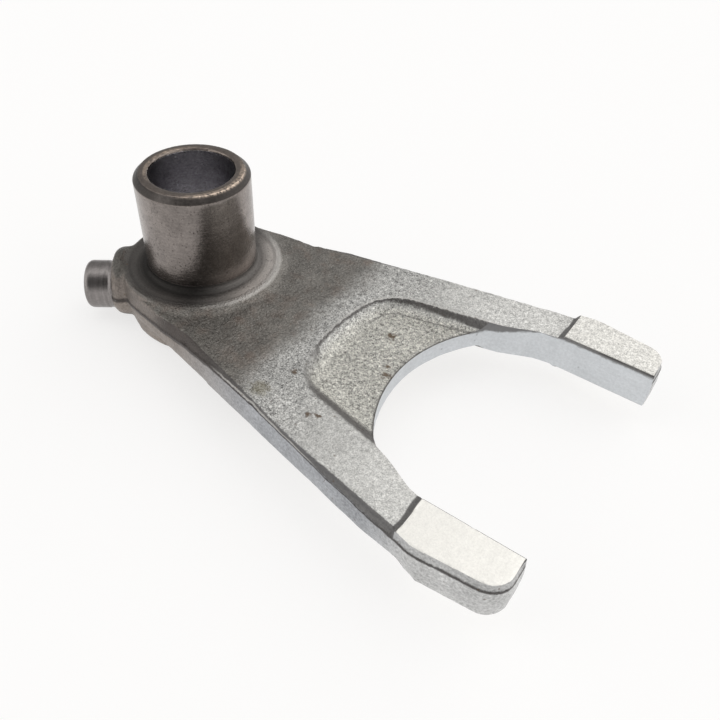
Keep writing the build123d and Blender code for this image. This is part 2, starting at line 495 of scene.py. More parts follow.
@dataclass(frozen=True)
class ForgedFinish(LandFinish):
    """The forging's steel: dark and turned at the hub, blasted on the arms, milled on the claws."""

    name: str = "forged_steel_blasted"
    sizes: ForkSizes = ForkSizes()
    dark: Colour = (0.22, 0.208, 0.19)
    pale: Colour = (0.60, 0.595, 0.575)
    pocket: Colour = (0.56, 0.55, 0.51)
    hub_side: Colour = (0.27, 0.235, 0.21)
    hub_edge: Colour = (0.205, 0.18, 0.162)
    # Colour of the painted shade below the flash line and, a little lighter, in the edge band near
    # the hub.
    crease_shade: Colour = (0.055, 0.048, 0.045)
    arm_side: Colour = (0.42, 0.43, 0.45)
    claw_side: Colour = (0.60, 0.60, 0.595)
    claw: Colour = (0.94, 0.925, 0.88)
    far_claw: float = 0.83
    rust: Colour = (0.13, 0.085, 0.05)
    tarnish: Colour = (0.21, 0.155, 0.125)
    moss: Colour = (0.22, 0.19, 0.10)
    # Colour of the painted shade on the pocket's walls.
    scale: Colour = (0.10, 0.093, 0.09)
    # Colour of slag at burrs, and of painted shade in the edge band and on the ramps to the claws.
    slag_and_shade: Colour = (0.125, 0.12, 0.118)
    # Colour of painted highlights and glints.
    painted_highlight: Colour = (0.62, 0.60, 0.57)
    crease_drop: float = 0.2
    crease_gain: float = 1.35
    ridge_over: float = 0.06
    blast_line: float = 25.8
    blast_blend: float = 3.2
    land_reach: float = 12.7
    land_blend: float = 1.6
    ridge_radius: float = 13.35
    claw_top: float = 11.0
    claw_bottom: float = 4.1
    spots: Spots = (
        ((36.6, 5.7, 8.6), 1.15),
        ((41.2, -2.4, 8.6), 0.95),
        ((40.3, -0.6, 8.6), 0.55),
        ((30.7, -12.1, 10.5), 0.6),
        ((37.6, -17.7, 10.5), 0.65),
        ((39.0, -17.1, 10.5), 0.55),
    )
    patches: Spots = (
        ((15.9, -8.1, 10.5), 1.6),
        ((23.4, 17.9, 10.5), 1.5),
        ((22.8, -13.4, 10.5), 1.4),
        ((29.6, 10.4, 8.6), 1.6),
    )
    green_patches: Spots = (((28.7, -17.9, 10.5), 2.2),)

    def hub_tone(self, face: Surface) -> Socket:
        """Colours the dark steel round the boss, with the turned land, painted glints and a painted
        highlight along the land's ridge.

        Args:
            face: The material's surface.

        Returns:
            The colour.
        """
        grain, _ = face.grain(3.0, 0.3, 1.9)
        patchy = face.smooth(face.noise(face.place, 0.35, 4.0, 0.6), 0.45, 0.7)
        body = face.paint(self.dark, self.tarnish, patchy, 0.3)
        body = face.tint(body, grain, face.smooth(face.x, -5.0, 9.0, 0.6, 1.0))
        # Painted glints: small bright specks on the dark steel.
        body = face.paint(body, self.painted_highlight, face.pits(2.6, 0.34, 0.4), 0.4)
        beyond = face.smooth(face.radius, self.land_reach, self.land_reach + self.land_blend)
        tone = face.mix(beyond, self.land_tone(face), body)
        # Painted highlight along the land's ridge, on its lit side.
        ridge = face.smooth(face.off(face.radius, self.ridge_radius), 0.15, 0.85, 1.0, 0.0)
        on_side = face.smooth(face.facing(self.lit_side), 0.25, 0.95)
        return face.paint(tone, face.tint(self.painted_highlight, self.land_rings(face)), ridge, on_side, 0.6)

    def arm_tone(self, face: Surface, inward: Socket) -> Socket:
        """Colours the blasted arms and the pocket's floor.

        Args:
            face: The material's surface.
            inward: Distance inside the pocket's edge.

        Returns:
            The colour.
        """
        strong = face.smooth(inward, 0.0, 1.5)
        strong = face.math("MAXIMUM", strong, face.smooth(face.x, 33.0, 42.0, 1.0, 0.0))
        strong = face.math("MAXIMUM", strong, face.smooth(face.y, 0.0, 12.0, 0.0, 0.3))
        grain, _ = face.grain(4.6, 1.5, face.total(1.6, face.product(strong, 2.0)))
        cloud = face.smooth(face.noise(face.place, 0.18, 4.0, 0.6), 0.3, 0.7, 0.93, 1.06)
        arms = face.tint(self.pale, face.smooth(face.x, 30.0, 56.0, 0.86, 1.17))
        tone = face.mix(face.smooth(inward, 0.2, 2.0), arms, self.pocket)
        return face.tint(tone, grain, cloud)

    def pocket_walls(self, face: Surface, tone: Socket, inward: Socket) -> Socket:
        """Paints shade on the pocket's walls, as a band at the top, a line at the foot and one at
        the gap's lip, and a painted highlight on the rim.

        Args:
            face: The material's surface.
            tone: Colour so far.
            inward: Distance inside the pocket's edge.

        Returns:
            The colour.
        """
        inward = face.total(inward, face.ragged(face.place, 1.6, 0.75))
        near_side = face.smooth(face.y, -8.0, -4.0, 1.0, 0.0)
        far_width = face.smooth(face.x, 30.0, 46.0, 0.36, 0.66)
        at_gap = face.smooth(face.x, 43.0, 47.0, 0.0, 0.3)
        width = face.total(far_width, at_gap, face.product(near_side, 1.3))
        blend = face.total(0.18, face.product(near_side, 0.5))
        fading = face.product(near_side, face.smooth(face.x, 30.0, 37.0, 0.55, 0.0))
        # Painted shade: a dark band down from the top of the walls.
        start = face.smooth(inward, face.product(blend, -0.6), face.product(blend, 0.6))
        end = face.smooth(inward, face.minus(width, blend), face.total(width, blend), 1.0, 0.0)
        tone = face.paint(tone, self.scale, start, end, face.minus(0.95, fading), 0.9)
        # Painted shade: a dark line at the foot of the far wall.
        foot = face.off(inward, face.smooth(face.x, 33.0, 50.0, 2.35, 1.9))
        foot = face.smooth(foot, 0.06, 0.3, 1.0, 0.0)
        tone = face.paint(tone, self.scale, foot, face.smooth(face.y, 2.0, 8.0), 0.5)
        # Painted shade at the lip where the pocket meets the gap.
        from_gap = face.vector("DISTANCE", face.level, (self.sizes.gap_centre, 0.0, 0.0))
        lip = face.smooth(face.minus(from_gap, self.sizes.gap_radius), 0.1, 0.42, 1.0, 0.0)
        tone = face.paint(tone, self.scale, lip, face.smooth(inward, 0.5, 2.0), 0.8)
        # Painted highlight on the pocket's rim, away from the near side.
        rim = face.smooth(face.off(inward, -0.22), 0.1, 0.35, 1.0, 0.0)
        return face.paint(tone, self.painted_highlight, rim, face.smooth(face.y, -6.0, 2.0), 0.45)

    def side_tone(self, face: Surface) -> Socket:
        """Colours the forging's outer walls, darker towards the hub.

        Args:
            face: The material's surface.

        Returns:
            The colour.
        """
        grain, _ = face.grain(2.6, 0.25, 1.3)
        above = face.mark(FLASH)
        tone = face.mix(face.smooth(face.x, 4.0, 34.0), self.hub_side, self.arm_side)
        near_hub = face.smooth(face.x, 14.0, 26.0, 1.0, 0.0)
        tone = face.paint(tone, self.hub_edge, face.smooth(above, -0.3, 0.1), near_hub)
        claw = face.tint(self.claw_side, face.smooth(above, -0.3, 0.1, 1.0, 0.88))
        return face.tint(face.mix(face.smooth(face.x, 52.0, 63.0), tone, claw), grain)

    def edge_marks(self, face: Surface, tone: Socket) -> Socket:
        """Paints shade in a dark band above the flash line and in the line just below it, and a
        painted highlight along its ridge.

        Args:
            face: The material's surface.
            tone: Colour so far.

        Returns:
            The colour.
        """
        above = face.mark(FLASH)
        ragged = face.ragged(face.place, 1.8, 0.4)
        # Painted shade: a dark band along the top edge, above the flash line.
        band = face.smooth(face.total(face.mark(CAP), ragged), -0.12, 0.14)
        over = face.smooth(above, -0.1, 0.1)
        band_shade = face.tint(self.crease_shade, self.crease_gain)
        band_shade = face.mix(face.smooth(face.x, 14.0, 28.0), band_shade, self.slag_and_shade)
        tone = face.paint(tone, band_shade, band, over, face.smooth(face.x, 1.0, 7.0), 0.88)
        # Painted shade in the line just below the flash line's ridge.
        crease_shade = face.math("ABSOLUTE", face.total(above, self.crease_drop, ragged))
        at_hub = face.smooth(face.x, 14.0, 26.0, 2.4, 1.0)
        at_claw = face.smooth(face.x, 50.0, 60.0, 1.0, 1.7)
        crease_shade = face.math("DIVIDE", crease_shade, face.product(at_hub, at_claw))
        tone = face.paint(tone, self.crease_shade, face.smooth(crease_shade, 0.08, 0.26, 1.0, 0.0), 0.9)
        # Painted highlight along the flash line's ridge.
        ridge = face.smooth(face.off(above, self.ridge_over), 0.03, 0.12, 1.0, 0.0)
        lit = (face.smooth(face.x, 18.0, 24.0), face.smooth(face.x, 41.0, 45.0, 1.0, 0.0))
        return face.paint(tone, self.painted_highlight, ridge, *lit, 0.6)

    def stained(self, face: Surface, tone: Socket) -> Socket:
        """Adds fine pits, tarnish, the green patch and the rust spots.

        Args:
            face: The material's surface.
            tone: Colour so far.

        Returns:
            The colour.
        """
        tone = face.paint(tone, self.rust, face.pits(*SCATTERED), 0.5)
        for colour, strength, breakup, marks in (
            (self.tarnish, 0.35, 0.9, self.patches),
            (self.moss, 0.45, 0.9, self.green_patches),
            (self.rust, 0.85, 1.6, self.spots),
        ):
            for centre, size in marks:
                spot = face.effect(face.effects.stain, Centre=centre, Radius=size, Breakup=breakup)
                tone = face.paint(tone, colour, spot.outputs["Mask"], strength)
        return tone

    def pad_tone(self, face: Surface) -> Socket:
        """Colours the claws' milled pads, of which the far one is duller and rougher.

        Args:
            face: The material's surface.

        Returns:
            The colour.
        """
        on_far = face.smooth(face.y, -5.0, 5.0)
        ground, _ = face.grain(4.4, 1.1, face.total(0.25, face.product(on_far, 1.35)))
        lines = face.ringed(face.rings(face.x, 2.2, 0.12), 0.985, 1.015)
        dull = face.smooth(on_far, 0.0, 1.0, 1.0, self.far_claw)
        return face.tint(self.claw, ground, lines, dull)

    def build(self, effects: Effects) -> Material:
        """Builds the material.

        Args:
            effects: The shared node groups.

        Returns:
            The material.
        """
        face = Surface(self.name, effects)
        inward, step = face.mark(POCKET), face.mark(STEP)
        normal = face.add("ShaderNodeTexCoord").outputs["Normal"]
        _, _, upward = face.add("ShaderNodeSeparateXYZ", normal).outputs
        flat = face.smooth(face.math("ABSOLUTE", upward), 0.4, 0.75)
        flat = face.math("MAXIMUM", flat, face.smooth(inward, -0.5, 0.0))
        along = face.total(face.x, face.ragged(face.place, 0.14, 6.0, roughness=0.6))
        line, blend = self.blast_line, self.blast_blend
        pale = face.smooth(along, line - blend, line + blend)
        tone = face.mix(pale, self.hub_tone(face), self.arm_tone(face, inward))
        tone = self.pocket_walls(face, tone, inward)
        tone = self.edge_marks(face, face.mix(flat, self.side_tone(face), tone))
        # Painted shade on the ramp up to each claw.
        ramp = (face.smooth(step, -1.15, -0.9), face.smooth(step, -0.2, 0.0, 1.0, 0.0))
        tone = self.stained(face, face.paint(tone, self.slag_and_shade, *ramp, flat, 0.85))
        inner = self.sizes.half_gap
        at_gap = face.smooth(face.math("ABSOLUTE", face.y), inner + 1.2, inner + 1.7, 1.0, 0.0)
        burr = (face.smooth(face.z, *BURR_HEIGHTS), face.smooth(step, 0.0, 0.3), at_gap)
        tone = face.paint(tone, self.slag_and_shade, *burr, 0.8)
        high = face.smooth(face.z, self.claw_top - 0.14, self.claw_top - 0.05)
        low = face.smooth(face.z, self.claw_bottom + 0.05, self.claw_bottom + 0.14, 1.0, 0.0)
        on_pad = face.product(face.total(high, low), face.smooth(step, -0.12, 0.0))
        tone = face.mix(on_pad, tone, self.pad_tone(face))
        _, height = face.grain(2.7, 0.5, 1.0)
        deep = face.product(height, face.smooth(on_pad, 0.2, 0.8, 1.0, 0.25))
        base = face.smooth(along, 20.0, 31.0, 0.44, 0.58)
        return face.finished(tone, face.total(base, face.product(deep, 0.3)), (deep, 0.16))


@dataclass(frozen=True)
class BossFinish(LandFinish):
    """Turned steel of the boss: grey brown, with dark pits and faint rings."""

    name: str = "steel_turned_boss"
    tone: Colour = (0.262, 0.233, 0.217)
    pit: Colour = (0.06, 0.05, 0.045)
    bore_tone: Colour = (0.57, 0.56, 0.58)
    rim_tone: Colour = (0.212, 0.18, 0.159)
    chamfer_tone: Colour = (0.19, 0.17, 0.158)
    front: Place = (0.548, -0.837, 0.0)
    left: Place = (-0.837, -0.548, 0.0)
    # Rubbed spots on the rim, partly wear and partly painted highlight.
    wear_and_sheen_tone: Colour = (0.64, 0.52, 0.42)
    wear_and_sheen_marks: tuple[tuple[Place, float, float], ...] = (
        ((1.0, 0.0, 0.0), 8.3, 0.6),
        ((-0.98, -0.17, 0.0), 7.5, 0.4),
    )
    foot_height: float = 12.5

    def rim(self, face: Surface, tone: Socket, sloped: Socket) -> Socket:
        """Colours the end face and its chamfer, with painted shade on the chamfer away from the
        front and painted highlights on rubbed spots of the rim.

        Args:
            face: The material's surface.
            tone: Colour of the wall.
            sloped: Mask of the chamfer.

        Returns:
            The colour.
        """
        top = face.smooth(face.z, 27.6, 27.9)
        # Painted shade: the chamfer is darker away from the front.
        shade = face.smooth(face.facing(self.front), 0.84, 0.97, 0.3, 0.62)
        tone = face.mix(top, tone, self.rim_tone)
        tone = face.mix(sloped, tone, face.tint(self.chamfer_tone, shade))
        chipped = face.smooth(face.noise(face.place, 2.2, 4.0, 0.65), 0.35, 0.6)
        # Rubbed spots on the rim, lightened both as wear and as painted highlight.
        for side, radius, width in self.wear_and_sheen_marks:
            near = face.smooth(face.off(face.radius, radius), width * 0.3, width, 1.0, 0.0)
            on_side = face.smooth(face.facing(side), 0.35, 0.9)
            tone = face.paint(tone, self.wear_and_sheen_tone, near, top, on_side, chipped, 0.95)
        return tone

    def build(self, effects: Effects) -> Material:
        """Builds the material.

        Args:
            effects: The shared node groups.

        Returns:
            The material.
        """
        face = Surface(self.name, effects)
        outer = face.smooth(face.radius, 7.25, 7.45)
        outer = face.math("MAXIMUM", outer, face.smooth(face.z, 28.3, 28.5))
        rings = face.rings(face.z, 3.0, 0.12)
        grain, height = face.grain(2.8, 0.3, 0.9)
        pits = face.pits(2.4, 0.46, 0.55)
        blotch = face.smooth(face.noise(face.place, 0.45, 4.0, 0.65), 0.35, 0.65, 0.88, 1.04)
        aside = face.facing(self.left)
        # Painted light: the boss is lighter on its left side and at its right edge.
        painted_light_left = face.smooth(aside, 0.1, 0.95, 0.82, 1.13)
        painted_light_right_edge = face.smooth(aside, -0.98, -0.8, 1.4, 1.0)
        tone = face.tint(self.tone, blotch, painted_light_left, painted_light_right_edge)
        sloped = face.product(face.smooth(face.radius, 8.5, 8.62), face.smooth(face.z, 27.7, 27.85))
        tone = self.rim(face, tone, sloped)
        # Painted shade: the land darkens towards the boss's foot.
        land = face.tint(self.land_tone(face), face.smooth(face.radius, 10.0, 11.8, 0.32, 1.0))
        on_wall = face.smooth(face.z, self.foot_height - 0.5, self.foot_height)
        tone = face.mix(outer, self.bore_tone, face.mix(on_wall, land, tone))
        tone = face.tint(tone, grain, face.ringed(rings, 0.95, 1.05))
        tone = face.paint(tone, self.pit, pits, 0.6)
        base = face.smooth(on_wall, 0.0, 1.0, 0.55, 0.22)
        rough = face.total(base, face.product(sloped, 0.2), face.product(height, 0.2))
        sunk = face.product(pits, -1.0)
        return face.finished(tone, rough, (rings, 0.012), (sunk, 0.02), (height, 0.03))


@dataclass(frozen=True)
class InnerFinish:
    """Trimmed faces inside the gap: pale, cool and fairly smooth."""

    name: str = "steel_trimmed_inner"
    tone: Colour = (0.62, 0.64, 0.66)
    # Colour of slag at burrs and pits, and of painted shade along the top of the far wall.
    slag_and_shade: Colour = (0.13, 0.125, 0.122)
    roughness: float = 0.45

    def build(self, effects: Effects) -> Material:
        """Builds the material.

        Args:
            effects: The shared node groups.

        Returns:
            The material.
        """
        face = Surface(self.name, effects)
        grain, height = face.grain(2.2, 0.3, 0.4)
        lines = face.ringed(face.rings(face.z, 2.0, 0.3), 0.98, 1.02)
        # Painted shade: a dark band along the top of the far wall by the gap.
        ragged = face.total(face.z, face.ragged(face.place, 1.2, 0.9, roughness=0.6))
        over = face.minus(ragged, face.smooth(face.x, 47.0, 57.5, 8.5, 10.3))
        on_far = face.product(face.smooth(face.y, 12.5, 14.5), face.smooth(face.x, 45.0, 47.5))
        edge = face.product(face.smooth(over, -0.2, 0.35), on_far)
        burr = face.product(face.smooth(face.z, *BURR_HEIGHTS), face.smooth(face.x, 59.2, 60.2))
        tone = face.tint(self.tone, grain, lines)
        tone = face.paint(tone, self.slag_and_shade, face.math("MAXIMUM", edge, burr), 0.85)
        tone = face.paint(tone, self.slag_and_shade, face.pits(*SCATTERED), 0.4)
        return face.finished(tone, self.roughness, (height, 0.05))


@dataclass(frozen=True)
class PinFinish:
    """Ground guide pin, with fine rings round its own axis."""

    name: str = "steel_ground_pin"
    tone: Colour = (0.25, 0.232, 0.225)
    direction: Place = (-0.7997, -0.6004, 0.0)
    roughness: float = 0.33

    def build(self, effects: Effects) -> Material:
        """Builds the material.

        Args:
            effects: The shared node groups.

        Returns:
            The material.
        """
        face = Surface(self.name, effects)
        along = face.vector("DOT_PRODUCT", face.place, self.direction)
        rings = face.rings(along, 4.0, 0.05)
        grain, height = face.grain(2.4, 0.35, 0.6)
        tone = face.tint(self.tone, grain, face.ringed(rings, 0.88, 1.12))
        return face.finished(tone, self.roughness, (rings, 0.012), (height, 0.02))


def placed(name: str, data: bpy.types.ID) -> Object:
    """Puts a mesh or a camera into the scene.

    Args:
        name: Name of the object.
        data: Its mesh or camera.

    Returns:
        The new object.
    """
    made = bpy.data.objects.new(name, data)
    bpy.context.scene.collection.objects.link(made)
    return made


def new_piece(name: str, mesh: Mesh) -> Object:
    """Adds a piece that stands for the fork's solid and moves with it.

    Args:
        name: Name of the piece.
        mesh: Its mesh, in metres.

    Returns:
        The new object.
    """
    piece = placed(name, mesh)
    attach(piece, BODY)
    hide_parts(NODE)
    return piece


def uneven(point: Vector, layers: Profile) -> float:
    """Adds up layers of noise at a point, each with a size and its lumps per millimetre."""
    return sum(size * noise.noise(point * lumps) for size, lumps in layers)


def lathe(
    name: str, profile: Corners, sides: int, shape: Callable[[Vector], Vector]
) -> Mesh:
    """Turns a profile round the Z axis into a mesh of quads.

    Args:
        name: Name of the mesh.
        profile: Radius and height of each point, in millimetres.
        sides: Number of steps round.
        shape: Moves each point, in millimetres, to where it belongs.

    Returns:
        The mesh, in metres.
    """
    made = bmesh.new()
    rings = []
    for step in range(sides):
        angle = 2 * math.pi * step / sides
        spot = [Vector((r * math.cos(angle), r * math.sin(angle), z)) for r, z in profile]
        rings.append([made.verts.new(shape(p) * MM) for p in spot])
    for step in range(sides):
        here, there = rings[step], rings[(step + 1) % sides]
        for low in range(len(profile) - 1):
            made.faces.new((here[low], there[low], there[low + 1], here[low + 1]))
    bmesh.ops.remove_doubles(made, verts=made.verts, dist=SAME_POINT)
    bmesh.ops.recalc_face_normals(made, faces=made.faces)
    mesh = bpy.data.meshes.new(name)
    made.to_mesh(mesh)
    made.free()
    mesh.shade_smooth()
    mesh.set_sharp_from_angle(angle=math.radians(SHARP_TURNED))
    return mesh


def quarter(radius: float, height: float, bend: float, steps: int) -> Corners:
    """Lists a quarter round about a centre, hollow where the bend is negative."""
    turns = [math.radians(90 / steps * k) for k in range(steps + 1)]
    return [(radius + bend * math.cos(a), height + bend * math.sin(a)) for a in turns]


def divided(points: Corners, step: float) -> Corners:
    """Adds points along a profile's long runs.

    Args:
        points: Corners of the profile.
        step: Longest run to leave, in millimetres.

    Returns:
        The profile with more points.
    """
    out = [points[0]]
    for (r0, z0), (r1, z1) in zip(points, points[1:]):
        count = max(1, math.ceil(math.hypot(r1 - r0, z1 - z0) / step))
        shares = [k / count for k in range(1, count + 1)]
        out += [(r0 + (r1 - r0) * share, z0 + (z1 - z0) * share) for share in shares]
    return out


@dataclass
class TurnedBoss:
    """Tube of the hub with its bore, chamfers and foot radius."""

    sizes: ForkSizes
    effects: Effects
    sides: int = 224
    run: float = 0.5
    edge_nick: float = 0.05
    level_share: float = 0.6
    knocks: Profile = ((1.0, 1.7), (0.6, 4.1))
    worn_depth: float = 1.6
    worn_blend: float = 1.2
    skirt: float = 0.3
    proud: float = 0.015

    def profile(self) -> Corners:
        """Lists the profile from the bore's bottom mouth to under the land.

        Returns:
            Radius and height of each corner.
        """
        s = self.sizes
        top, r, foot = s.boss_height, s.boss_radius, s.boss_foot
        land = s.land_height + self.proud
        return [
            (s.bore_radius + 3 * s.mouth_chamfer, 0.03),
            (s.bore_radius + s.mouth_chamfer, 0.0),
            (s.bore_radius, s.mouth_chamfer),
            (s.bore_radius, top - s.mouth_chamfer),
            (s.bore_radius + 0.12, top - 0.08),
            (s.bore_radius + s.mouth_chamfer, top),
            (r - s.boss_chamfer - 0.08, top),
            (r - s.boss_chamfer + 0.06, top - 0.05),
            (r - 0.06, top - s.boss_chamfer + 0.08),
            (r, top - s.boss_chamfer - 0.1),
            *quarter(r + foot, land + foot, -foot, 6),
            (s.land_radius - 0.1, land),
            (s.land_radius + 0.25, land - 0.03),
            (s.land_radius + 0.4, land - self.skirt),
        ]

    def wear_and_light(self, point: Vector) -> Vector:
        """Moves a point of the rim a little, as small knocks do.

        Args:
            point: The point, in millimetres.

        Returns:
            The moved point.
        """
        start = self.sizes.boss_height - self.worn_depth
        nick = self.edge_nick * min(max((point.z - start) / self.worn_blend, 0.0), 1.0)
        knock = uneven(point, self.knocks)
        level = Vector((point.x, point.y, 0.0)).normalized() * (knock * nick * self.level_share)
        return point + level - Vector((0, 0, abs(knock) * nick))

    def build(self) -> Object:
        """Builds and dresses the boss.

        Returns:
            The piece.
        """
        mesh = lathe("turned_boss", divided(self.profile(), self.run), self.sides, self.wear_and_light)
        mesh.materials.append(BossFinish().build(self.effects))
        return new_piece("turned_boss", mesh)


@dataclass
class GuidePin:
    """Round pin on the lug, with a rounded end and a shallow step at its root."""

    sizes: ForkSizes
    effects: Effects
    sides: int = 128
    run: float = 0.4
    start: float = 14.8
    step_at: float = 17.1
    step_depth: float = 0.08
    root_fillet: float = 0.3
    end_rounding: float = 1.0
    end_crown: float = 0.12

    def profile(self) -> Corners:
        """Lists the profile from inside the lug to the middle of the end face.

        Returns:
            Radius and distance out of each corner.
        """
        s = self.sizes
        r, turn = s.pin_radius, self.end_rounding
        return [
            (r - self.step_depth, self.start),
            (r + self.root_fillet, self.start + 0.4),
            (r + self.root_fillet, s.lug_reach + 0.04),
            (r + self.root_fillet * 0.4, s.lug_reach + 0.2),
            (r - self.step_depth, s.lug_reach + 0.6),
            (r - self.step_depth, self.step_at),
            (r, self.step_at + 0.12),
            *quarter(r - turn, s.pin_reach - self.end_crown - turn, turn, 8),
            (r * 0.4, s.pin_reach - self.end_crown * 0.15),
            (0.0, s.pin_reach),
        ]

    def build(self) -> Object:
        """Builds and dresses the pin.

        Returns:
            The piece.
        """
        turn = Vector((0, 0, 1)).rotation_difference(self.sizes.pin_direction)
        lift = Vector((0, 0, self.sizes.pin_height))
        profile = divided(self.profile(), self.run)
        mesh = lathe("guide_pin", profile, self.sides, lambda p: turn @ p + lift)
        mesh.materials.append(PinFinish().build(self.effects))
        return new_piece("guide_pin", mesh)


@dataclass
class ForgedFork:
    """The forging: hub, lug, plate, arms and claws, with its own unevenness."""

    sizes: ForkSizes
    effects: Effects
    octree_depth: int = 8
    octree_scale: float = 0.95
    sharp_angle: float = 38.0
    wall_slope: float = 0.6
    cut_slope: float = 0.7
    least_mark: float = -3.0
    most_inward: float = 6.0
    lumps: float = 0.06
    waves: Profile = ((1.0, 0.23), (0.5, 0.61), (0.3, 1.3))
    flash_height: float = 0.12
    flash_width: float = 0.2
    ledge: float = 0.07
    inner_start: float = 4.0
    inner_slope: float = 0.3
    step_shift: float = 0.3
    step_bow: float = 0.25
    under_shift: float = 2.3
    under_reach: float = 6.0
    ridge_side: tuple[float, float] = (0.97, 0.24)
    ridge_height: float = 0.15
    ridge_radius: float = 13.3
    ridge_width: float = 0.45
    lug_from: float = 11.0
    lug_half: float = 8.0
    lug_passes: int = 12
    far_wall: tuple[float, float, float] = (2.1, 0.31, 0.62)
    near_wall: tuple[float, float, float] = (3.4, 0.5, 0.56)
    end_wall: tuple[float, float, float] = (2.6, 0.45, 0.6)
    flash_line: Profile = (
        (-16.0, 5.0), (-8.0, 6.3), (-5.0, 7.0), (-1.0, 7.6), (3.0, 8.0), (7.0, 8.5),
        (11.5, 9.3), (16.0, 9.8), (20.0, 10.1), (28.0, 10.2), (36.0, 9.9), (40.0, 9.75),
        (46.0, 9.45), (54.0, 9.4), (57.0, 9.5), (60.0, 9.6), (64.0, 9.7), (76.0, 9.8),
    )
    edge_band: Profile = (
        (-6.0, 0.0), (3.0, 0.1), (8.0, 0.9), (12.0, 1.4), (16.0, 1.15), (24.0, 0.95),
        (29.0, 0.7), (36.0, 0.42), (41.0, 0.42), (46.0, 0.62), (53.0, 0.8), (58.4, 0.9),
    )
    inner_line: Profile = (
        (48.8, 0.0), (51.0, 0.15), (53.0, 0.0), (56.5, -0.5), (58.7, -0.25), (59.5, 0.0),
    )
    land_rise: Profile = ((12.6, 0.48), (13.3, 0.46), (13.9, 0.37), (14.4, 0.22), (15.3, 0.0))

    def remeshed(self) -> Mesh:
        """Copies the solid's mesh and rebuilds it in even small faces.

        Returns:
            The new mesh.
        """
        rough = placed("rough_forging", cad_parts[NODE].data.copy())
        weld = rough.modifiers.new("weld", "WELD")
        weld.merge_threshold = NEAR_POINT
        even = rough.modifiers.new("even", "REMESH")
        even.mode = "SHARP"
        even.octree_depth = self.octree_depth
        even.scale = self.octree_scale
        even.sharpness = 1.0
        graph = bpy.context.evaluated_depsgraph_get()
        mesh = bpy.data.meshes.new_from_object(rough.evaluated_get(graph))
        bpy.data.objects.remove(rough)
        mesh.name = "forged_fork"
        return mesh

    def covered(self, centre: Vector) -> bool:
        """Tells whether the turned boss or the pin covers a face.

        Args:
            centre: Middle of the face, in millimetres.

        Returns:
            True where the face isn't wanted.
        """
        s = self.sizes
        radius = math.hypot(centre.x, centre.y)
        if radius < s.bore_radius + s.mouth_chamfer + 0.05:
            return True
        if radius < s.land_radius - 0.3 and centre.z > s.land_height - 0.2:
            return True
        out = centre.dot(s.pin_direction)
        beside = (centre - s.pin_direction * out - Vector((0, 0, s.pin_height))).length
        return out > s.lug_reach + 0.1 and beside < s.pin_radius + 0.25

    def is_outer(self, point: Vector, normal: Vector) -> bool:
        """Tells whether a place is on the walls that the flash line runs round.

        Args:
            point: The place, in millimetres.
            normal: Its normal.

        Returns:
            True on the outer walls.
        """
        far = math.hypot(point.x, point.y) > self.sizes.bore_radius + 2
        inner_wall = self.inner_start + self.inner_slope * max(point.x, 0.0)
        tip = point.x > self.sizes.claw_reach - self.sizes.claw_stagger - 1.0
        outside = abs(point.y) > inner_wall or tip or point.x < 0
        return far and abs(normal.z) < self.wall_slope and outside

    def is_machined(self, point: Vector, normal: Vector) -> bool:
        """Tells whether a place was cut after forging, and so stays true.

        Args:
            point: The place, in millimetres.
            normal: Its normal.

        Returns:
            True on the claws' faces and on the turned faces.
        """
        s = self.sizes
        level = abs(normal.z) > self.cut_slope
        on_claw = level or abs(abs(point.y) - s.half_gap) < 0.4
        on_claw = on_claw and point.x > s.claw_start(point.y) + 0.1
        return on_claw or (level and math.hypot(point.x, point.y) < s.land_radius)

    def top(self, point: Vector) -> float:
        """Works out the height of the forging's upper face, with the land and the pocket.

        Args:
            point: A place on it, in millimetres.

        Returns:
            The height.
        """
        s = self.sizes
        inward, at_end = s.in_pocket(point)
        wall = self.far_wall if point.y > 0 else self.near_wall
        run, knee, share = (a + (b - a) * at_end for a, b in zip(wall, self.end_wall))
        sunk = float(np.interp(inward / run, (0.0, knee, 1.0), (0.0, share, 1.0)))
        radius = math.hypot(point.x, point.y)
        facing = (point.x * self.ridge_side[0] + point.y * self.ridge_side[1]) / radius
        off = (radius - self.ridge_radius) / self.ridge_width
        ridge = self.ridge_height * eased(facing, 0.1, 0.8) * math.exp(-(off ** 2))
        return s.arm_top + read(self.land_rise, radius) + ridge - s.pocket_depth * sunk

    def reformed(self, point: Vector, normal: Vector) -> Vector:
        """Moves a point of the solid's faces to the forging's softer forms.

        Args:
            point: The point, in millimetres.
            normal: Its normal.

        Returns:
            The moved point.
        """
        s = self.sizes
        start = s.claw_start(point.y)
        inside, out = s.from_edge(point)
        moved = point.copy()
        high = point.z > s.arm_top - s.pocket_depth - 0.35
        if high and point.x < start - s.claw_ramp - 0.2 and point.dot(s.pin_direction) < 12.5:
            if normal.z > 0.3:
                moved.z += (self.top(point) - point.z) * eased(inside, 0.9, 1.5)
            elif s.in_pocket(point)[0] > 0.2 and normal.z > -0.2:
                moved.z = min(point.z, self.top(point))
        fade = 1.0 - eased(point.x, start - s.claw_ramp, start - 0.1)
        wavy = 1.0 + 0.2 * noise.noise(Vector((point.x * 0.7, out.y * 5.0, 2.0)))
        band = read(self.edge_band, point.x) * wavy * fade
        line = read(self.flash_line, point.x)
        if point.x > -6.0 and inside < band + 0.5 and point.z > line - 0.1 and band > 0.25:
            drop = s.arm_top - line
            off = ((band - inside) * drop + (point.z - s.arm_top) * band) / math.hypot(drop, band)
            if off > 0:
                moved -= (out * drop + Vector((0, 0, band))) * (off / math.hypot(drop, band))
        if 48.8 < point.x < 59.5:
            inner = eased(inside, s.arm_width - 4.0, s.arm_width)
            moved.y -= math.copysign(1.0, point.y) * read(self.inner_line, point.x) * inner
        if point.z > s.arm_middle and point.x > 50:
            near = 1.0 - eased(abs(point.x - start + s.claw_ramp / 2), 0.8, 2.6)
            bow = math.exp(-(((abs(point.y) - 24.6) / 1.5) ** 2))
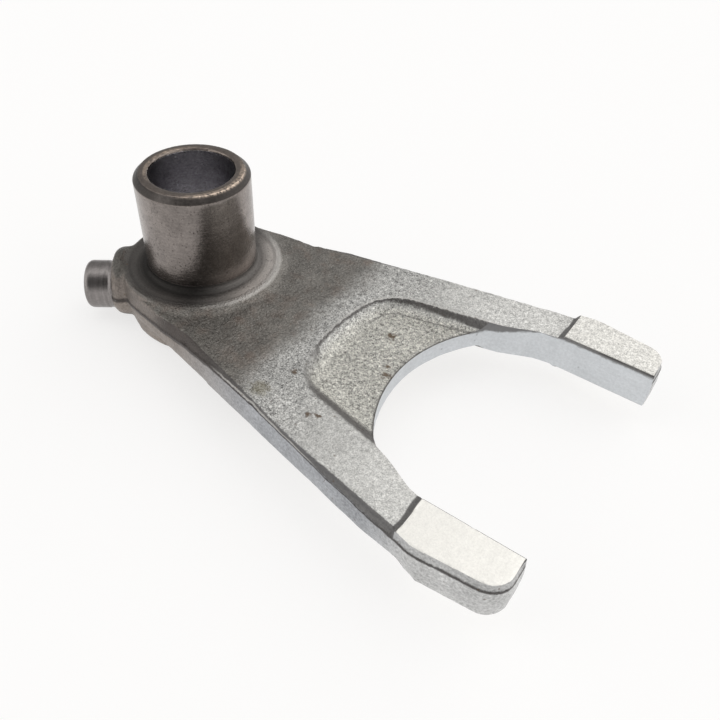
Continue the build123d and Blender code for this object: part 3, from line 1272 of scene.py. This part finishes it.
            moved.x += near * (self.step_shift + self.step_bow * bow)
        return moved

    def slid(self, point: Vector) -> Vector:
        """Slides the step under a claw towards the tip, where the forging has it.

        Args:
            point: The point, in millimetres.

        Returns:
            The moved point.
        """
        s = self.sizes
        apart = abs(point.x - s.claw_start(point.y) + s.claw_ramp / 2)
        low = 1.0 - eased(point.z, s.arm_middle - 2.5, s.arm_middle)
        near = 1.0 - eased(apart, 0.8, self.under_reach)
        near *= eased(abs(point.y), s.half_gap + 0.3, s.half_gap + 2.8)
        return point + Vector((self.under_shift * low * near, 0.0, 0.0))

    def shaped(self, point: Vector, normal: Vector) -> tuple[Vector, tuple[float, ...]]:
        """Gives a point of the forging its form, its unevenness and the flash line's ledge.

        Args:
            point: The point, in millimetres.
            normal: Its normal.

        Returns:
            The moved point, and its height above the flash line, how far it lies in the
            edge's band, how far inside the pocket and how far past the start of the claw.
        """
        s = self.sizes
        inside, _ = s.from_edge(point)
        line = read(self.flash_line, point.x)
        side = math.copysign(1.0, point.y)
        line += 0.14 * noise.noise(Vector((point.x * 0.45, side * 7.0, 0.0)))
        step = point.x - s.claw_start(point.y) if point.x > 50 else -FAR_OFF
        fade = 1.0 - eased(step, -s.claw_ramp, -0.1)
        outer = self.is_outer(point, normal)
        above = point.z - line if outer or (inside < 2.5 and point.z > 8) else FAR_OFF
        band = -FAR_OFF
        if point.x >= -6.0 and (outer or -4 < inside < 3):
            band = read(self.edge_band, point.x) * fade - inside
        off_gap = math.hypot(point.x - s.gap_centre, point.y) > s.gap_radius + 0.4
        steep_wall = point.z > s.arm_top - s.pocket_depth - 0.2 and inside > 3.0 and off_gap
        least = self.least_mark
        inward = s.in_pocket(point)[0] if abs(normal.z) > 0.25 or steep_wall else least
        marks = (above, max(band, least), min(max(inward, least), self.most_inward), step)
        if self.is_machined(point, normal):
            return self.slid(point), marks
        moved = self.slid(self.reformed(point, normal))
        moved += normal * (uneven(point, self.waves) * self.lumps)
        if not outer:
            return moved, marks
        swell = 1.0 + 0.5 * noise.noise(Vector((point.x * 0.9, side * 3.0, 4.0)))
        ridge = math.exp(-((above / self.flash_width) ** 2)) * self.flash_height * swell
        ledge = -self.ledge * math.tanh(above / self.flash_width)
        level = Vector((normal.x, normal.y, 0.0)).normalized()
        return moved + level * (ridge + ledge), marks

    def zone(self, centre: Vector, normal: Vector) -> Zone:
        """Tells which finish a face has.

        Args:
            centre: Middle of the face, in millimetres.
            normal: Its normal.

        Returns:
            The zone.
        """
        s = self.sizes
        to_gap = normal.dot(Vector((s.gap_centre, 0.0, centre.z)) - centre) > 0
        if abs(normal.z) < 0.5 and centre.x > 41.0 and to_gap and abs(centre.y) < s.half_gap + 0.8:
            return Zone.INNER
        return Zone.FORGED

    def soften_lug(self, made: bmesh.types.BMesh) -> None:
        """Rounds the lug's end and blends the lug and the arms' underside into the hub.

        Args:
            made: The forging's mesh, in metres.
        """
        s = self.sizes
        across = Vector((-s.pin_direction.y, s.pin_direction.x, 0.0))
        near = []
        for vert in made.verts:
            place = vert.co / MM
            out = place.dot(s.pin_direction)
            beside = math.hypot(place.dot(across), place.z - s.pin_height)
            on_lug = out > self.lug_from and abs(place.dot(across)) < self.lug_half
            on_lug = on_lug and place.z > 0.3 and beside > s.pin_radius + 0.5
            on_lug = on_lug and place.xy.length > s.land_radius + 0.4
            under_arm = abs(place.z - s.arm_bottom) < 1.1 and place.x < 18.0
            if on_lug or (under_arm and place.xy.length > s.land_radius):
                near.append(vert)
        axes = {f"use_axis_{axis}": True for axis in "xyz"}
        for _ in range(self.lug_passes):
            bmesh.ops.smooth_vert(made, verts=near, factor=0.5, **axes)

    def build(self) -> Object:
        """Builds and dresses the forging.

        Returns:
            The piece.
        """
        mesh = self.remeshed()
        made = bmesh.new()
        made.from_mesh(mesh)
        made.normal_update()
        self.soften_lug(made)
        doomed = [f for f in made.faces if self.covered(f.calc_center_median() / MM)]
        bmesh.ops.delete(made, geom=doomed, context="FACES")
        outer = [f for f in made.faces if self.is_outer(f.calc_center_median() / MM, f.normal)]
        walls = {edge for face in outer for edge in face.edges}
        bmesh.ops.subdivide_edges(made, edges=list(walls), cuts=1, use_grid_fill=True)
        for face in made.faces:
            face.material_index = self.zone(face.calc_center_median() / MM, face.normal).value
            face.smooth = True
        made.normal_update()
        layers = [made.verts.layers.float.new(name) for name in (FLASH, CAP, POCKET, STEP)]
        places = [(v, *self.shaped(v.co / MM, v.normal)) for v in made.verts]
        for vert, place, marks in places:
            vert.co = place * MM
            for layer, mark in zip(layers, marks):
                vert[layer] = mark
        mesh.materials.clear()
        for finish in (ForgedFinish(), InnerFinish()):
            mesh.materials.append(finish.build(self.effects))
        made.to_mesh(mesh)
        made.free()
        mesh.set_sharp_from_angle(angle=math.radians(self.sharp_angle))
        return new_piece("forged_fork", mesh)


@dataclass
class Studio:
    """Pale floor, soft light all round and the camera at the photograph's angle."""

    camera_place: Place = (83.632, -75.029, 90.976)
    camera_target: Place = (37.008, -3.839, 10.5)
    camera_roll: float = 2.995
    lens: float = 37.552
    sensor: float = 36.0
    nearest: float = 0.005
    farthest: float = 20.0
    floor_half: float = 3.0
    floor_colour: Colour = (0.30, 0.30, 0.298)
    floor_drop: float = 0.02
    floor_glow: float = 0.725
    glow_colour: Colour = (1.0, 0.992, 0.985)
    sky_colour: Colour = (1.0, 0.996, 0.992)
    sky: float = 1.4
    camera_shade: float = 0.95
    back_shade: float = 0.70
    back_direction: Place = (-0.78, 0.48, 0.40)

    def camera(self) -> None:
        """Places the camera."""
        data = bpy.data.cameras.new("studio_camera")
        data.lens, data.sensor_width = self.lens, self.sensor
        data.clip_start, data.clip_end = self.nearest, self.farthest
        camera = placed("studio_camera", data)
        place, target = Vector(self.camera_place) * MM, Vector(self.camera_target) * MM
        camera.location = place
        camera.rotation_mode = "QUATERNION"
        aim = (target - place).to_track_quat("-Z", "Y")
        camera.rotation_quaternion = aim @ Quaternion((0, 0, 1), math.radians(self.camera_roll))
        bpy.context.scene.camera = camera

    def floor(self) -> None:
        """Lays the floor, which glows a little as a light table does."""
        h = self.floor_half
        mesh = bpy.data.meshes.new("floor")
        mesh.from_pydata([(-h, -h, 0), (h, -h, 0), (h, h, 0), (-h, h, 0)], [], [(0, 1, 2, 3)])
        floor = placed("floor", mesh)
        floor.location.z = -self.floor_drop * MM
        material = bpy.data.materials.new("pale_floor")
        material.use_nodes = True
        Graph(material.node_tree).feed_all(
            material.node_tree.nodes["Principled BSDF"],
            Base_Color=self.floor_colour,
            Roughness=1.0,
            Specular_IOR_Level=0.0,
            Emission_Color=self.glow_colour,
            Emission_Strength=self.floor_glow,
        )
        mesh.materials.append(material)

    def sky_light(self) -> None:
        """Lights the scene from a white dome with two soft dark areas."""
        world = bpy.data.worlds.new("soft_dome")
        bpy.context.scene.world = world
        world.use_nodes = True
        graph = Graph(world.node_tree)
        ray = graph.add("ShaderNodeTexCoord").outputs["Generated"]
        light = 1.0
        for middle, low, high, shade in (
            (Vector(self.camera_place) - Vector(self.camera_target), 0.62, 0.93, self.camera_shade),
            (Vector(self.back_direction), 0.55, 0.98, self.back_shade),
        ):
            near = graph.vector("DOT_PRODUCT", ray, tuple(middle.normalized()))
            light = graph.minus(light, graph.smooth(near, low, high, 0.0, shade))
        seen = graph.add("ShaderNodeLightPath").outputs["Is Camera Ray"]
        strength = graph.product(graph.math("MAXIMUM", light, seen), self.sky)
        back = world.node_tree.nodes["Background"]
        graph.feed_all(back, Color=self.sky_colour, Strength=strength)

    def build(self) -> None:
        """Builds the floor, the light and the camera."""
        self.camera()
        self.floor()
        self.sky_light()
        bpy.context.scene.view_settings.view_transform = "Standard"


def main() -> None:
    """Builds the studio and the fork's pieces in order."""
    sizes = ForkSizes()
    effects = Effects()
    Studio().build()
    for maker in (ForgedFork(sizes, effects), TurnedBoss(sizes, effects), GuidePin(sizes, effects)):
        piece = maker.build()
        log.info("%s: %d faces", piece.name, len(piece.data.polygons))


if __name__ == "__main__":
    main()
